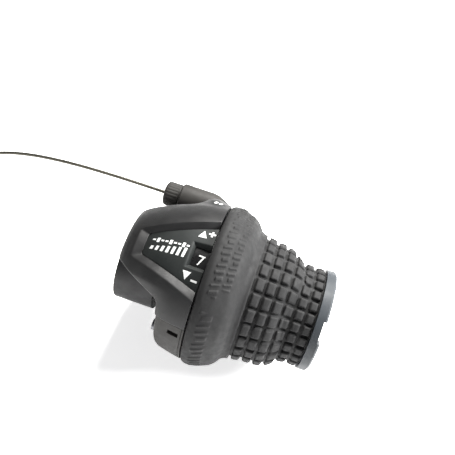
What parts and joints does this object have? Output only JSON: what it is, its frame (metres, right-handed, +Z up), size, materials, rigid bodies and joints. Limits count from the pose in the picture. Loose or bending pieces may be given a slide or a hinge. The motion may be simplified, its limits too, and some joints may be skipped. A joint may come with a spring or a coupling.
{
  "type": "twist grip gear shifter",
  "caption": "Handlebar twist-grip gear shifter: clamp band, casing with gear display, ribbed rubber grip that turns on the bar, and a gear inner wire leaving through a barrel adjuster.",
  "frame": {"origin": "handlebar axis, at the middle of the clamp band", "axes": "+X along the handlebar towards its end, +Y forward away from the rider, +Z up"},
  "size_m": [0.1834, 0.0524, 0.0524],
  "materials": {
    "body_plastic": "black moulded nylon",
    "housing_plastic": "warm dark grey moulded plastic with a fine matt texture",
    "cover_plastic": "near-black moulded plastic, satin",
    "display_plastic": "dark greenish charcoal plate, satin",
    "number_plastic": "black ring with white numerals",
    "sleeve_plastic": "bluish grey moulded plastic",
    "grip_rubber": "grey rubber, matt",
    "gear_plastic": "natural acetal",
    "drum_plastic": "white acetal",
    "bolt_steel": "zinc-plated steel",
    "spring_steel": "bright spring steel",
    "guide_brass": "drawn brass tube",
    "wire_steel": "stranded stainless steel, bright",
    "tie_plastic": "black nylon"
  },
  "bodies": {
    "shifter_body": {"bracket": "body_plastic", "clamp_bolt": "bolt_steel", "clamp_nut": "bolt_steel", "clamp_washer": "bolt_steel", "rear_housing": "housing_plastic", "front_cover": "cover_plastic", "display_plate": "display_plastic", "cover_screws": "bolt_steel", "housing_screws": "bolt_steel", "sun_gear": "gear_plastic", "detent_spring": "spring_steel", "detent_pins": "bolt_steel", "cable_guide": "guide_brass", "cable_lead": "wire_steel", "gear_cable": "wire_steel", "gear_cable_coil": "wire_steel", "cable_tie": "tie_plastic", "adjuster_spring": "spring_steel"},
    "grip": {"grip_sleeve": "sleeve_plastic", "number_ring": "number_plastic", "grip_rubber": "grip_rubber"},
    "drum": {"cable_drum": "drum_plastic", "planet_pins": "bolt_steel", "cable_wrap": "wire_steel", "cable_head": "wire_steel"},
    "planet_1": {"planet_gear_1": "gear_plastic"},
    "planet_2": {"planet_gear_2": "gear_plastic"},
    "planet_3": {"planet_gear_3": "gear_plastic"},
    "adjuster_carriage": {"adjuster_washer": "bolt_steel"},
    "adjuster": {"adjuster_barrel": "body_plastic", "adjuster_bolt": "bolt_steel"}
  },
  "joints": [
    {"name": "grip_twist", "type": "hinge", "parent": "shifter_body", "child": "grip", "pos_m": [0.04, 0, 0], "axis": [1, 0, 0], "range_deg": [0, 114], "deforming": ["detent_spring"]},
    {"name": "drum_turn", "type": "hinge", "parent": "shifter_body", "child": "drum", "pos_m": [0.0128, 0, 0], "axis": [1, 0, 0], "range_deg": [0, 67.7], "deforming": ["cable_wrap"]},
    {"name": "planet_1_spin", "type": "hinge", "parent": "drum", "child": "planet_1", "pos_m": [0.0178, 0, 0.0168], "axis": [1, 0, 0], "range_deg": [0, 293.32]},
    {"name": "planet_2_spin", "type": "hinge", "parent": "drum", "child": "planet_2", "pos_m": [0.0178, -0.01455, -0.0084], "axis": [1, 0, 0], "range_deg": [0, 293.32]},
    {"name": "planet_3_spin", "type": "hinge", "parent": "drum", "child": "planet_3", "pos_m": [0.0178, 0.01455, -0.0084], "axis": [1, 0, 0], "range_deg": [0, 293.32]},
    {"name": "adjuster_travel", "type": "slide", "parent": "shifter_body", "child": "adjuster_carriage", "axis": [-1, 0, 0], "range_m": [0, 0.0024], "deforming": ["adjuster_spring"]},
    {"name": "adjuster_turn", "type": "hinge", "parent": "adjuster_carriage", "child": "adjuster", "pos_m": [0, 0.02113, 0.0122], "axis": [-1, 0, 0], "range_deg": [0, 1080.01]}
  ],
  "couplings": [
    {"joint": "drum_turn", "follows": "grip_twist", "ratio": 0.59375},
    {"joint": "planet_1_spin", "follows": "grip_twist", "ratio": 2.5729},
    {"joint": "planet_2_spin", "follows": "grip_twist", "ratio": 2.5729},
    {"joint": "planet_3_spin", "follows": "grip_twist", "ratio": 2.5729},
    {"joint": "adjuster_turn", "follows": "adjuster_travel", "rad_per_m": 7854}
  ]
}
